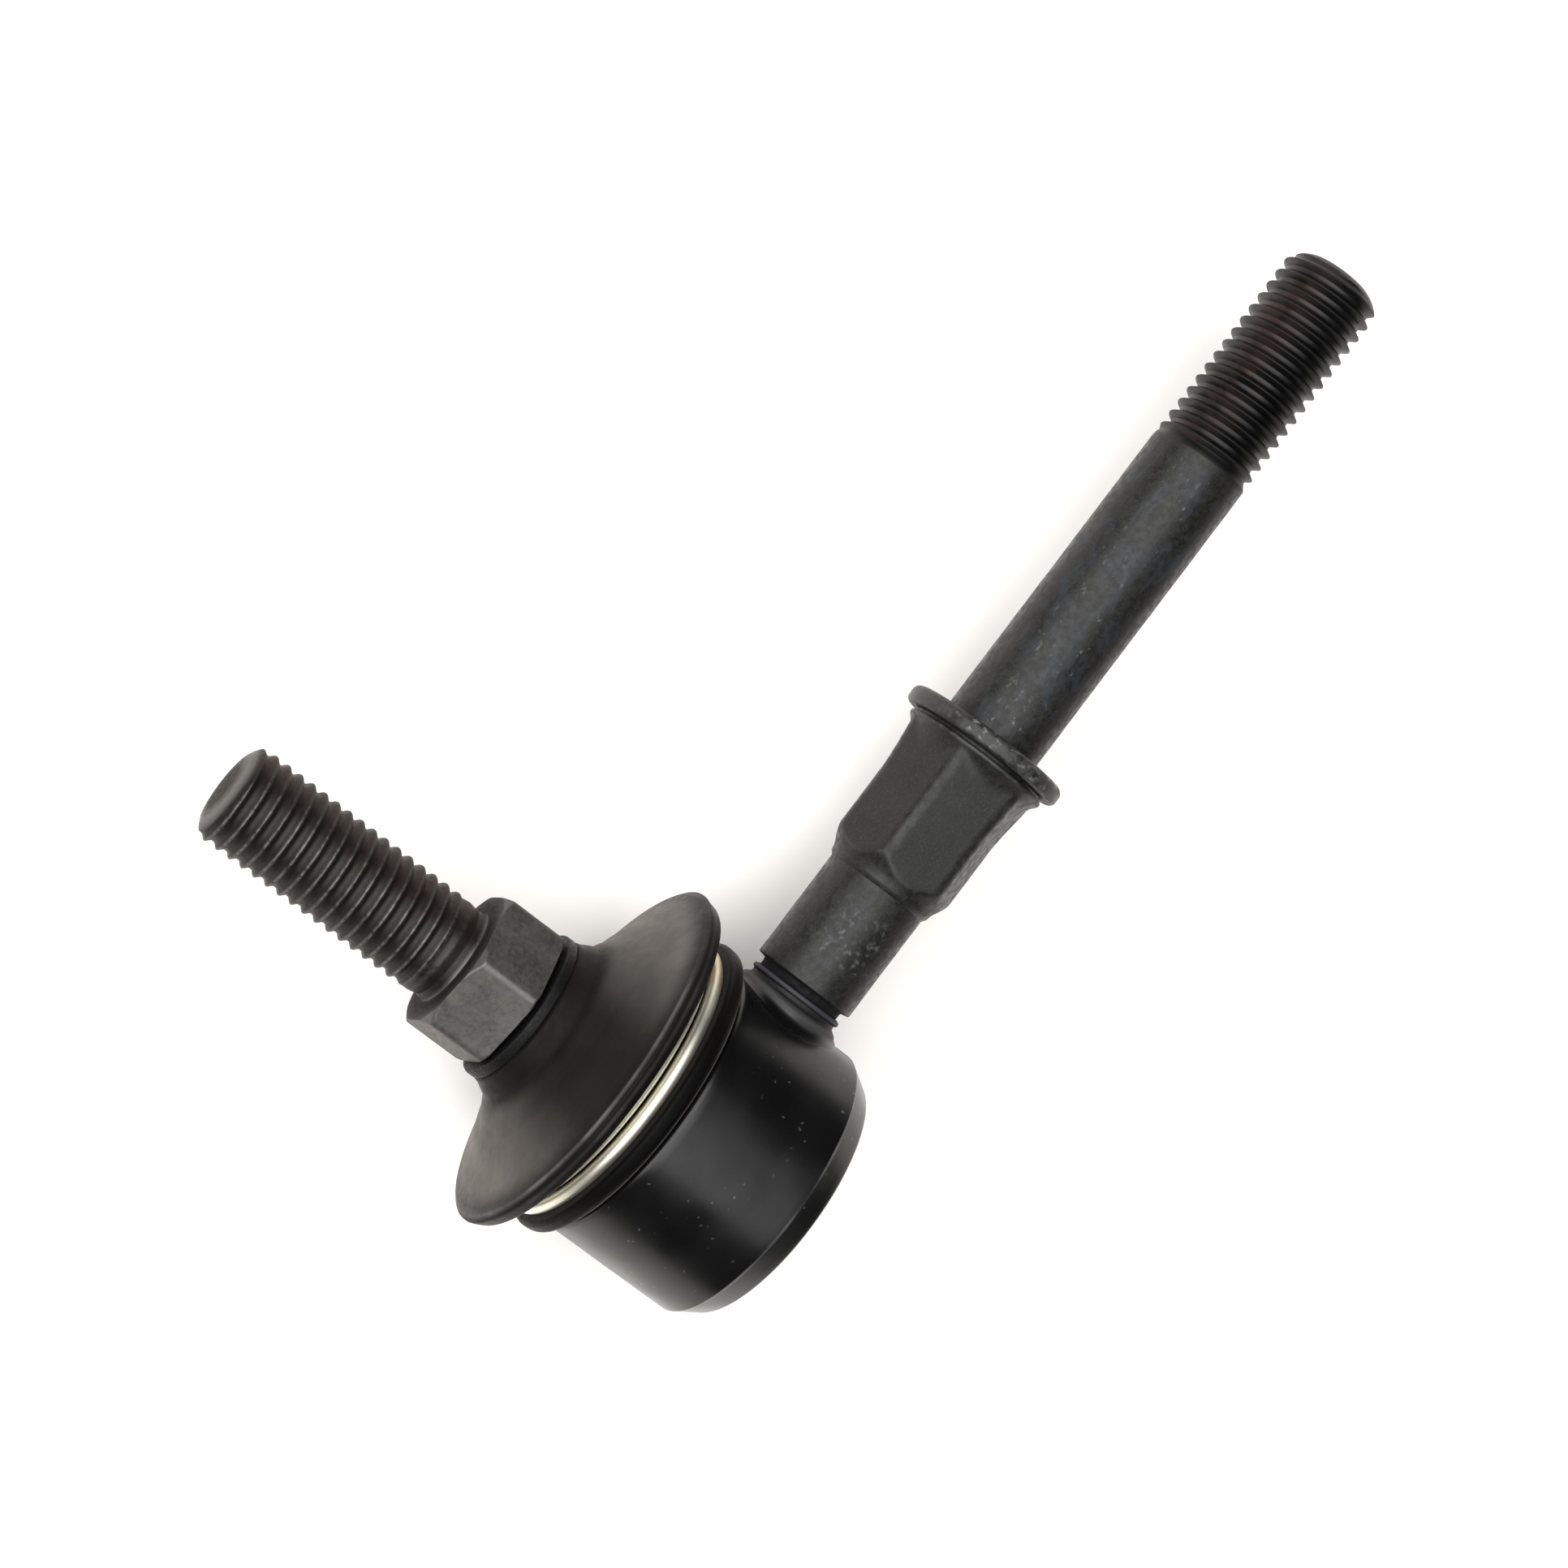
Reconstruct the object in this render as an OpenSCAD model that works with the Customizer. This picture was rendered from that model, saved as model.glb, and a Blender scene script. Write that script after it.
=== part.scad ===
// Stabilizer link: a threaded rod with a flange at one end and a ball stud in a sealed socket at the other.
// Lengths are in millimetres. The rod runs along +X, the stud along +Y, and the flange's seat is at x = 0.

/* [Link] */
// distance from the ball's centre to the flange's seat
ball_to_seat = 54.3; // [48:0.1:120]
// diameter over the crests of both threads, and of the rod's plain shank
thread_d = 12; // [10:0.5:14]

/* [Rod] */
// plain shank from the flange's seat to the thread
shank_len = 38; // [20:0.5:80]
// threaded length of the rod
rod_thread_len = 24.3; // [12:0.1:60]
// length of the rounded tip
rod_tip_len = 2; // [1:0.1:4]
// diameter of the tip's end face
rod_tip_d = 8.2; // [5:0.1:9]
// diameter of the flange
flange_d = 20.1; // [18:0.1:30]
// thickness of the flange
flange_t = 2; // [1.5:0.1:4]
// length of the flare under the flange
flare_len = 5.6; // [4:0.1:9]
// hexagon of the rod, across its flats
rod_hex_af = 14; // [13.5:0.1:17]
// full-width length of the rod's hexagon
rod_hex_len = 9.4; // [5:0.1:16]
// length of the cone over which the round neck grows to the hexagon's corners
hex_lead_len = 3.2; // [2:0.1:6]
// diameter of the round neck
neck_d = 12.2; // [11:0.1:13]

/* [Housing] */
// outside diameter of the housing
housing_d = 34.2; // [33:0.1:40]
// distance from the ball's centre up to the shoulder under the boot
shoulder_y = 7.5; // [7:0.1:10]
// height of the collar that carries the boot
collar_h = 5.7; // [5.5:0.1:8]
// distance from the ball's centre down to the housing's bottom
base_y = 12.2; // [11.8:0.1:16]
// height of the rolled bottom rim
rim_h = 3; // [1:0.1:4]
// inward run of the rolled bottom rim
rim_in = 1.8; // [0.5:0.1:2.2]
// wall of the housing beside the ball seat
housing_wall = 3.9; // [3.4:0.1:5]
// length of the boss from the housing's side to the weld
boss_len = 2.1; // [1.5:0.1:6]
// growth of the boss's radius where it runs into the housing
boss_foot = 1.6; // [0.5:0.1:1.8]

/* [Ball] */
// diameter of the ball
ball_d = 20; // [18:0.1:20.4]
// running clearance between ball and seat
ball_clearance = 0.05; // [0.02:0.01:0.1]
// thickness of the end cover
cover_t = 1.2; // [0.8:0.1:1.3]
// gap between the ball and the end cover
cover_gap = 0.3; // [0.2:0.05:0.5]
// width of the ledge that the end cover sits on
cover_ledge = 1.6; // [1:0.1:2]

/* [Stud] */
// distance from the ball's centre to the hexagon's lower face
hex_y = 25.2; // [24:0.1:40]
// height of the stud's hexagon
stud_hex_h = 7.8; // [5:0.1:12]
// hexagon of the stud, across its flats
stud_hex_af = 16; // [15:0.1:19]
// turn of the stud's hexagon about its axis, in degrees
stud_hex_turn = 11; // [0:1:59]
// length of the stud above its hexagon, without the tip
stud_thread_len = 30; // [15:0.1:60]
// length of the stud's rounded tip
stud_tip_len = 1.3; // [1:0.1:4]
// diameter of the stud tip's end face
stud_tip_d = 8.6; // [5:0.1:9]
// diameter of the waist above the ball
waist_d = 10.4; // [8:0.1:10.6]
// diameter of the journal inside the boot's neck
journal_d = 12; // [11:0.1:13]

/* [Boot] */
// largest diameter of the boot
boot_d = 43.5; // [42:0.1:50]
// diameter of the boot's neck at its top
boot_neck_d = 18.1; // [16.5:0.1:19]
// growth of the neck's radius from its top to its foot
boot_neck_flare = 0.9; // [0:0.1:1.5]
// height of the boot's neck
boot_neck_h = 2; // [1:0.1:4]
// diameter of the bead below the clamp ring
bead_d = 37.6; // [36.5:0.1:41]
// height of the bead below the clamp ring
bead_h = 2.4; // [1.5:0.1:3]
// wall of the boot
boot_wall = 1.6; // [1.2:0.1:2]
// height of the boot's rim, from its underside to its shoulder
boot_rim_h = 1.9; // [1.7:0.1:4]
// running clearance around the boot
boot_clearance = 0.05; // [0.02:0.01:0.1]

/* [Rings] */
// wire of the clamp ring
wire_d = 1.7; // [1.2:0.1:2]
// turns of the clamp ring
wire_turns = 1.9; // [1:0.1:2]
// thickness of the ring above the boot's neck
neck_ring_t = 1.35; // [0.8:0.05:2]
// diameter of the ring above the boot's neck
neck_ring_d = 18.1; // [16.5:0.1:20]
// open slit between the neck ring and the stud's hexagon
hex_slit = 0.5; // [0.3:0.1:1]

/* [Hidden] */
$fn = 96;
steps = 8;
edge_r = 0.9;
weld_step = 0.4;
weld_bevel = 1.1;
lead_overlap = 0.3;
flare_root = 0.6;
cut_over = 1;
wire_gap = 0.05;
wire_seat = 0.1;
collar_step = 2.6;
opening_lip = 1.4;
boss_root = 0.9;
boss_rim = 0.6;
waist_step = 0.8;
low_trim = 1.15;
corner_trim = 2.25;
trim_len = 1.05;
rim_bevel = 0.6;
dish_power = 1.45;
thread_r = thread_d / 2;
neck_r = neck_d / 2;
rod_hex_r = rod_hex_af / 2 / cos(30);
stud_hex_r = stud_hex_af / 2 / cos(30);
rod_end = shank_len + rod_thread_len;
flare_start = -flange_t - flare_len;
hex_start = flare_start - rod_hex_len;
hex_end = flare_start + 0.7 * flare_len;
lead_start = hex_start - hex_lead_len;
weld_r = neck_r - weld_step;
weld_x = housing_d / 2 + boss_len - ball_to_seat;
housing_r = housing_d / 2;
bore_r = housing_r - housing_wall;
ball_r = ball_d / 2;
cover_top = -ball_r - cover_gap;
lip_y = 0.54 * ball_r;
collar_top = shoulder_y + collar_h;
collar_r = housing_r - collar_step;
mouth_low_r = 0.9 * ball_r;
mouth_top_r = 1.12 * ball_r;
ball_flat_y = 0.82 * ball_r;
vent_r = 0.3 * ball_r;
groove_r = collar_r + boot_clearance + boot_wall;
groove_low = shoulder_y + boot_clearance + bead_h;
wire_pitch = wire_d + wire_gap;
groove_h = wire_d + wire_pitch + 3 * wire_seat;
boot_under = groove_low + groove_h;
boot_shoulder_y = boot_under + boot_rim_h;
neck_ring_top = hex_y - hex_slit;
neck_ring_low = neck_ring_top - neck_ring_t;
boot_top = neck_ring_low - boot_clearance;
boot_foot_y = boot_top - boot_neck_h;
journal_low = boot_foot_y - waist_step;

// turns a shape drawn along z so that it runs along the rod
module along_rod() {
    rotate([0, 90, 0]) children();
}

// turns a shape drawn along z so that it runs along the stud, with the ball's centre at zero
module along_stud() {
    translate([-ball_to_seat, 0, 0]) rotate([-90, 0, 0]) children();
}

// points of an arc about a centre
function arc(centre, radius, from, to) =
    [for (i = [0 : steps])
        let (a = from + (to - from) * i / steps)
        centre + radius * [cos(a), sin(a)]];

// quarter wave from one point to another: it leaves along the second axis and arrives along the first
function sweep_out(from, to) =
    [for (i = [0 : steps]) [from[0] + (to[0] - from[0]) * (1 - cos(90 * i / steps)),
                            from[1] + (to[1] - from[1]) * sin(90 * i / steps)]];

// trumpet from a narrow point to a wide one: steep at first, then ever flatter
function trumpet(from, to) =
    [for (i = [0 : steps]) [from[0] + (to[0] - from[0]) * pow(i / steps, dish_power),
                            from[1] + (to[1] - from[1]) * i / steps]];

// quarter wave from one point to another: it leaves along the first axis and arrives along the second
function sweep_up(from, to) =
    [for (i = [0 : steps]) [from[0] + (to[0] - from[0]) * sin(90 * i / steps),
                            from[1] + (to[1] - from[1]) * (1 - cos(90 * i / steps))]];

// bar with six flats; one pair of flats faces up and down once it runs along the rod
module hex_bar(radius, low, high) {
    translate([0, 0, low]) cylinder(h = high - low, r = radius, $fn = 6);
}

module link_rod() {
    flange_r = flange_d / 2;
    color([0.27, 0.27, 0.28]) along_rod() {
        // neck, flare, flange, shank and tip
        rotate_extrude() polygon(concat(
            [[0, weld_x], [weld_r, weld_x], [neck_r, weld_x + weld_bevel], [neck_r, flare_start]],
            sweep_out([neck_r + flare_root, flare_start + flare_root], [flange_r - edge_r, -flange_t]),
            arc([flange_r - edge_r, edge_r - flange_t], edge_r, -90, 0),
            arc([flange_r - edge_r, -edge_r], edge_r, 0, 90),
            [[thread_r, 0]],
            sweep_out([thread_r, rod_end], [rod_tip_d / 2, rod_end + rod_tip_len]),
            [[0, rod_end + rod_tip_len]]));
        // hexagon, whose flats run out in tongues on the cone of the lead
        intersection() {
            rotate([0, 0, 30]) hex_bar(rod_hex_r, lead_start - cut_over, hex_end);
            rotate_extrude() polygon([
                [0, lead_start - lead_overlap], [neck_r - lead_overlap, lead_start - lead_overlap],
                [neck_r, lead_start], [rod_hex_r + lead_overlap, hex_start],
                [rod_hex_r + lead_overlap, -flange_t], [0, -flange_t]]);
        }
    }
}

module socket_housing() {
    boss_end = housing_r + boss_len;
    color([0.05, 0.05, 0.055]) difference() {
        union() {
            along_stud() rotate_extrude() polygon(concat(
                [[0, -base_y], [housing_r - rim_in, -base_y]],
                arc([housing_r - edge_r, rim_h - base_y], edge_r, -40, 0),
                arc([housing_r - edge_r, shoulder_y - edge_r], edge_r, 0, 90),
                [[collar_r, shoulder_y], [collar_r, collar_top], [0, collar_top]]));
            translate([-ball_to_seat, 0, 0]) along_rod() rotate_extrude() polygon(concat(
                [[0, bore_r + boss_root], [weld_r + boss_foot, bore_r + boss_root]],
                sweep_up([weld_r + boss_foot, housing_r - boss_rim], [weld_r, boss_end - boss_rim]),
                [[weld_r, boss_end], [0, boss_end]]));
        }
        along_stud() {
            // bore for the ball seat, ledge for the cover, and the mouth that lets the stud swing
            translate([0, 0, cover_top]) cylinder(h = lip_y - cover_top, r = bore_r);
            translate([0, 0, cover_top - cover_t]) cylinder(h = cover_t, r = bore_r + cover_ledge);
            translate([0, 0, -base_y - cut_over]) cylinder(h = base_y + cut_over, r = bore_r - opening_lip);
            translate([0, 0, lip_y]) cylinder(h = collar_top - lip_y, r1 = mouth_low_r, r2 = mouth_top_r);
            translate([0, 0, collar_top]) cylinder(h = cut_over, r = mouth_top_r);
        }
    }
}

module end_cover() {
    color([0.42, 0.42, 0.43]) along_stud() translate([0, 0, cover_top - cover_t])
        cylinder(h = cover_t, r = bore_r + cover_ledge);
}

module ball_seat() {
    color([0.86, 0.85, 0.8]) along_stud() difference() {
        translate([0, 0, cover_top]) cylinder(h = lip_y - cover_top, r = bore_r);
        sphere(r = ball_r + ball_clearance);
        translate([0, 0, cover_top - cut_over]) cylinder(h = cover_gap + 2 * cut_over, r = vent_r);
    }
}

module ball() {
    color([0.6, 0.6, 0.61]) along_stud() difference() {
        sphere(r = ball_r);
        translate([-ball_r, -ball_r, ball_flat_y]) cube([ball_d, ball_d, ball_r]);
    }
}

module threaded_stud() {
    hex_top = hex_y + stud_hex_h;
    stud_end = hex_top + stud_thread_len;
    trim_r = stud_hex_r + edge_r / 2;
    trim_low = edge_r;
    color([0.4, 0.4, 0.4]) along_stud() {
        // waist, journal, thread and tip
        rotate_extrude() polygon(concat([
            [0, ball_flat_y], [waist_d / 2, ball_flat_y], [waist_d / 2, journal_low - waist_step],
            [journal_d / 2, journal_low], [journal_d / 2, hex_y + 1], [thread_r, hex_y + 2]],
            sweep_out([thread_r, stud_end], [stud_tip_d / 2, stud_end + stud_tip_len]),
            [[0, stud_end + stud_tip_len]]));
        // hexagon with trimmed corners
        intersection() {
            rotate([0, 0, 90 + stud_hex_turn]) hex_bar(stud_hex_r, hex_y, hex_top);
            rotate_extrude() polygon([
                [0, hex_y - cut_over], [stud_hex_r - low_trim, hex_y - cut_over], [trim_r, hex_y + trim_low],
                [trim_r, hex_top - trim_len], [stud_hex_r - corner_trim, hex_top + cut_over],
                [0, hex_top + cut_over]]);
        }
    }
}

module dust_boot() {
    rim_r = boot_d / 2;
    bead_r = bead_d / 2;
    inner_r = collar_r + boot_clearance;
    neck_in = journal_d / 2 + 2 * boot_clearance;
    foot_r = boot_neck_d / 2 + boot_neck_flare;
    dish = trumpet([foot_r, boot_foot_y], [rim_r - rim_bevel, boot_shoulder_y]);
    color([0.06, 0.06, 0.06]) along_stud() rotate_extrude() polygon(concat(
        [[inner_r, shoulder_y + boot_clearance]],
        arc([bead_r - edge_r, shoulder_y + boot_clearance + edge_r], edge_r, -90, 0),
        arc([bead_r - edge_r, groove_low - edge_r], edge_r, 0, 90),
        [[groove_r, groove_low], [groove_r, boot_under]],
        arc([rim_r - edge_r, boot_under + edge_r], edge_r, -90, 20),
        [for (i = [0 : steps]) dish[steps - i]],
        [[boot_neck_d / 2, boot_top], [neck_in, boot_top], [neck_in, boot_foot_y - boot_wall / 2]],
        trumpet([foot_r - boot_wall, boot_foot_y - boot_wall / 2], [groove_r, boot_under + boot_wall]),
        [[inner_r, boot_under]]));
}

// the wire lies flat for most of its first turn, then steps up by one pitch and lies flat on itself
function wire_step(turn) = turn < 0.75 ? 0 : turn > 0.96 ? 1 : (1 - cos(180 * (turn - 0.75) / 0.21)) / 2;

// radius, angle and height of the wire's section at one place along the ring
function wire_at(turn) =
    [groove_r + boot_clearance + wire_d / 2,
     360 * turn,
     groove_low + wire_seat + wire_d / 2 + wire_pitch * wire_step(turn)];

module boot_clamp_ring() {
    sides = 12;
    stations = round(48 * wire_turns);
    points = [for (i = [0 : stations], k = [0 : sides - 1])
        let (c = wire_at(wire_turns * i / stations), r = c[0] + wire_d / 2 * cos(360 * k / sides))
        [r * cos(c[1]), r * sin(c[1]), c[2] + wire_d / 2 * sin(360 * k / sides)]];
    sides_of_wire = [for (i = [0 : stations - 1], k = [0 : sides - 1])
        let (a = i * sides + k, b = i * sides + (k + 1) % sides)
        [a, b, b + sides, a + sides]];
    first_end = [for (k = [0 : sides - 1]) sides - 1 - k];
    last_end = [for (k = [0 : sides - 1]) stations * sides + k];
    color([0.78, 0.62, 0.28]) along_stud() rotate([0, 0, 60])
        polyhedron(points = points, faces = concat(sides_of_wire, [first_end, last_end]));
}

module boot_neck_ring() {
    color([0.2, 0.2, 0.2]) along_stud() translate([0, 0, neck_ring_low]) difference() {
        cylinder(h = neck_ring_t, r = neck_ring_d / 2);
        translate([0, 0, -cut_over])
            cylinder(h = neck_ring_t + 2 * cut_over, r = journal_d / 2 + boot_clearance);
    }
}

link_rod();
socket_housing();
end_cover();
ball_seat();
ball();
threaded_stud();
dust_boot();
boot_clamp_ring();
boot_neck_ring();
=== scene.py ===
"""Models and dresses a stabilizer link: a forged rod, a sealed ball socket and a threaded ball stud."""

import math

import bmesh
import bpy
from bpy.props import FloatProperty, FloatVectorProperty, IntProperty, PointerProperty
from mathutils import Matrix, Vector, noise


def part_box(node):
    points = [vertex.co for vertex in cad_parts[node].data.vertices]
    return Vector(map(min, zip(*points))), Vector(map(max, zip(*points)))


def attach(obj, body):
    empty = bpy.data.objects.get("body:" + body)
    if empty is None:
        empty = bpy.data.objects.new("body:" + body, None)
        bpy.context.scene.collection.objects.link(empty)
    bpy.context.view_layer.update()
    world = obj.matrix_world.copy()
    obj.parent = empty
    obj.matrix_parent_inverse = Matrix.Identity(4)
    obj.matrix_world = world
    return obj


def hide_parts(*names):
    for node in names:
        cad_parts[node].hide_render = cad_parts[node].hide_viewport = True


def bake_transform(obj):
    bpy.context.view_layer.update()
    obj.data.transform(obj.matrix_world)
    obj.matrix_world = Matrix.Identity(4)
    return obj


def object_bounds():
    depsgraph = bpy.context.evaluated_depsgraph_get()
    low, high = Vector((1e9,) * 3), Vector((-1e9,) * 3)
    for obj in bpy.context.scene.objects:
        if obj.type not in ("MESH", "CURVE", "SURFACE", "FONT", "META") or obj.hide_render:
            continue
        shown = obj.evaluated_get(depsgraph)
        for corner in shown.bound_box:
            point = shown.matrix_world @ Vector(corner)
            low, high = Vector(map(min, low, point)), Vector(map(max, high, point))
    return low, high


bl_info = {
    "name": "Stabilizer link",
    "version": (1, 0, 0),
    "blender": (4, 5, 0),
    "location": "3D View > Sidebar > Link",
    "description": "Models the pieces of a stabilizer link around its CAD frame",
    "category": "Mesh",
}

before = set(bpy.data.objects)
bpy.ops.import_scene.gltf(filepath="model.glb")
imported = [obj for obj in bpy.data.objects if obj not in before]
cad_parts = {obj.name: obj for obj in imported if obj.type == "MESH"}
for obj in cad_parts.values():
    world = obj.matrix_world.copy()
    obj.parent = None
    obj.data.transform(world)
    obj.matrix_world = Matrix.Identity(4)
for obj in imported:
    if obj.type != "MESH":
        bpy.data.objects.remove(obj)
CAD_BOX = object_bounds()

MM = 0.001
MERGE = 0.001 * MM
SEAM = 0.05 * MM
SEGMENTS = 192
CREASE = math.radians(32)
SIXTH = math.pi / 3
AXES = {"X": Vector((1, 0, 0)), "Y": Vector((0, 1, 0))}
BALL_X = sum(corner.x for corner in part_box("ball")) / 2
ROD_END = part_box("link_rod")[1].x
STUD_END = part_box("threaded_stud")[1].y
HOUSING_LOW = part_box("socket_housing")[0]
COLLAR_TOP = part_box("socket_housing")[1].y
HOUSING_RADIUS = BALL_X - HOUSING_LOW.x
BOOT_RADIUS = BALL_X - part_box("dust_boot")[0].x
BOOT_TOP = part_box("dust_boot")[1].y
COVER_LOW, COVER_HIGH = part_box("end_cover")
NECK_RING_LOW, NECK_RING_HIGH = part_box("boot_neck_ring")
WIRE_LOW, WIRE_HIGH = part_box("boot_clamp_ring")
CAMERA_PLACE = (-0.03956, 0.13947, 0.42191)
CAMERA_TURN = (-7.898, -14.645, -51.351)
LIGHT_PLACE = Vector((-0.07, 0.27, 0.7))
LIGHT_AIM = Vector((-0.03, 0.02, 0))
LIGHT_SIZE = (1.2, 1.15)


def number(name, description, default, **options):
    """A property that holds one number."""
    return FloatProperty(name=name, description=description, default=default, **options)


def length(name, description, millimetres):
    """A length property with its default in millimetres."""
    return number(name, description, millimetres * MM, unit="LENGTH", precision=5)


def colour(name, description, default):
    """A colour property."""
    return FloatVectorProperty(
        name=name,
        description=description,
        default=default,
        subtype="COLOR",
        min=0,
        max=1,
    )


class RodSizes(bpy.types.PropertyGroup):
    """Sizes of the forged rod."""

    foot: length("Foot", "Where the rod ends inside the weld", -35.3)
    weld: length("Weld", "Where the neck ends above the weld's groove", -33.85)
    neck_radius: length("Neck radius", "Radius of the round neck above the weld", 6.12)
    shank_radius: length("Shank radius", "Radius of the plain shank", 5.92)
    shank_end: length("Shank end", "Distance from the flange's seat to the thread", 37.6)
    hex_across: length("Hexagon", "Width of the rod's hexagon across its flats", 14)
    lead_start: length("Lead start", "Where the neck starts to grow into the hexagon", -20.2)
    lead_slope: number("Lead slope", "Rise of the lead between neck and hexagon", 0.63)
    flare_end: length("Flare end", "Where the flare meets the ridge under the flange", -3)
    flange_radius: length("Flange radius", "Radius of the flange", 10.05)
    flange_thickness: length("Flange thickness", "Thickness of the flange", 2.05)


class StudSizes(bpy.types.PropertyGroup):
    """Sizes of the ball stud; heights are above the ball's centre."""

    hex_across: length("Hexagon", "Width of the stud's hexagon across its flats", 16)
    hex_low: length("Hexagon bottom", "Height of the hexagon's lower face", 25.2)
    hex_top: length("Hexagon top", "Height of the hexagon's upper face", 33)
    hex_corner: number(
        "Corner angle",
        "Turn of the nearest corner from the upward direction",
        math.radians(11),
        subtype="ANGLE",
    )
    neck_radius: length("Neck radius", "Radius of the plain neck below the thread", 5.7)
    thread_start: length("Thread start", "Height at which the stud's thread starts", 35.3)


class ThreadSizes(bpy.types.PropertyGroup):
    """Sizes of both threads."""

    rod_crest: length("Rod crest", "Radius over the crests of the rod's thread", 6)
    stud_crest: length("Stud crest", "Radius over the crests of the stud's thread", 5.87)
    rod_depth: length("Rod depth", "Depth of the rod's thread from crest to root", 0.8)
    stud_depth: length("Stud depth", "Depth of the stud's thread from crest to root", 0.54)
    pitch: length("Pitch", "Advance of the thread in one turn", 1.635)
    runout: length("Run-out", "Length over which a thread grows out of its neck", 2.4)
    steps: IntProperty(
        name="Steps",
        description="Steps in one turn of the thread",
        default=96,
        min=24,
        max=192,
    )


class SocketSizes(bpy.types.PropertyGroup):
    """Sizes of the socket, its boot and its rings."""

    shoulder: length("Shoulder", "Height of the shoulder under the boot above the ball's centre", 7.5)
    rim_edge: length("Rim edge", "Depth below the ball's centre at which the bottom rim starts", 9.1)
    boss_radius: length("Boss radius", "Radius of the boss at the weld", 5.7)
    wire_radius: length("Wire radius", "Radius of the clamp ring's wire", 0.78)
    wire_turns: number("Wire turns", "Turns of the clamp ring", 1.9, min=1, max=2)


class Finishes(bpy.types.PropertyGroup):
    """Colours of the finishes."""

    phosphate: colour("Phosphate", "Dark coating of the rod", (0.0075, 0.0073, 0.007))
    thread_black: colour("Oiled thread", "Oiled coating of the rod's thread", (0.0025, 0.0025, 0.0025))
    stud_steel: colour("Stud steel", "Grey coating of the stud", (0.08, 0.078, 0.074))
    enamel: colour("Enamel", "Black enamel of the socket", (0.002, 0.002, 0.0022))
    rubber: colour("Rubber", "Black rubber of the boot", (0.0035, 0.0032, 0.003))
    zinc: colour("Yellow zinc", "Yellow plating of the clamp ring", (0.86, 0.82, 0.74))
    floor: colour("Floor", "Pale floor", (0.93, 0.9, 0.86))


class StudioLook(bpy.types.PropertyGroup):
    """Camera and light of the stage."""

    lens: number("Lens", "Focal length of the camera in millimetres", 93.17)
    key_power: number("Key", "Power of the softbox above, in watts", 20.5, min=0)
    surround: number("Surround", "Brightness of the room", 0.03, min=0)


# Modelling helpers


def point_on(axis, along, radius):
    """Place of an outline's point in the plane that the outline is drawn in."""
    if axis == "X":
        return Vector((along, radius, 0))
    return Vector((radius, along, 0))


def draw_outline(name, axis, outline):
    """Draws edges through (along, radius) points by extruding one vertex; edit mode stays on."""
    bpy.ops.object.select_all(action="DESELECT")
    bpy.ops.mesh.primitive_plane_add(size=MM)
    piece = bpy.context.object
    piece.name = name
    corners = [point_on(axis, *point) for point in outline]
    bpy.ops.object.mode_set(mode="EDIT")
    bpy.ops.mesh.merge(type="CENTER")
    bpy.ops.transform.translate(value=corners[0])
    for here, there in zip(corners, corners[1:]):
        bpy.ops.mesh.extrude_vertices_move(TRANSFORM_OT_translate={"value": there - here})
    return piece


def close_seams():
    """Merges doubled vertices and turns all faces outwards; edit mode is on."""
    bpy.ops.mesh.select_all(action="SELECT")
    bpy.ops.mesh.remove_doubles(threshold=MERGE)
    bpy.ops.mesh.normals_make_consistent(inside=False)


def turn(name, axis, outline):
    """Turns an outline of (along, radius) points into a body of revolution."""
    piece = draw_outline(name, axis, outline)
    bpy.ops.mesh.select_all(action="SELECT")
    bpy.ops.mesh.spin(steps=SEGMENTS, angle=math.tau, center=(0, 0, 0), axis=AXES[axis])
    close_seams()
    bpy.ops.object.mode_set(mode="OBJECT")
    return piece


def reshape(piece, move):
    """Moves every vertex of a piece to where the given function puts it."""
    for vertex in piece.data.vertices:
        vertex.co = move(vertex.co)
    piece.data.update()


def select_only(*pieces):
    """Selects the given pieces and makes the first one active."""
    bpy.ops.object.select_all(action="DESELECT")
    for piece in pieces:
        piece.select_set(True)
    bpy.context.view_layer.objects.active = pieces[0]


def join(*pieces):
    """Joins pieces into the first of them."""
    select_only(*pieces)
    bpy.ops.object.join()
    return pieces[0]


def slide(piece, offset):
    """Moves a piece's mesh in edit mode, so that its object stays at the origin."""
    select_only(piece)
    bpy.ops.object.mode_set(mode="EDIT")
    bpy.ops.mesh.select_all(action="SELECT")
    bpy.ops.transform.translate(value=offset)
    bpy.ops.object.mode_set(mode="OBJECT")


def bridge_rims(piece, axis, along):
    """Joins the two open rims that lie near one place along the axis."""
    reach = 4 * SEAM
    select_only(piece)
    bpy.ops.object.mode_set(mode="EDIT")
    bpy.ops.mesh.select_mode(type="EDGE")
    bpy.ops.mesh.select_all(action="DESELECT")
    sheet = bmesh.from_edit_mesh(piece.data)
    for edge in sheet.edges:
        middle = (edge.verts[0].co + edge.verts[1].co) / 2
        edge.select_set(edge.is_boundary and abs(middle.dot(AXES[axis]) - along) < reach)
    bmesh.update_edit_mesh(piece.data)
    bpy.ops.mesh.bridge_edge_loops()
    bpy.ops.mesh.select_mode(type="VERT")
    close_seams()
    bpy.ops.object.mode_set(mode="OBJECT")


def dress(piece, material, slot_name, *nodes):
    """Shades a finished piece, gives it its material and hides the CAD nodes that it stands for."""
    select_only(piece)
    bpy.ops.object.shade_smooth_by_angle(angle=CREASE)
    piece.data.materials.clear()
    piece.data.materials.append(material)
    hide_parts(*nodes)


# Outlines


def line(start, end, spacing):
    """Points from start up to, but not including, end, about one spacing apart."""
    start, end = Vector(start), Vector(end)
    count = max(1, round((end - start).length / spacing))
    return [tuple(start.lerp(end, i / count)) for i in range(count)]


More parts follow.
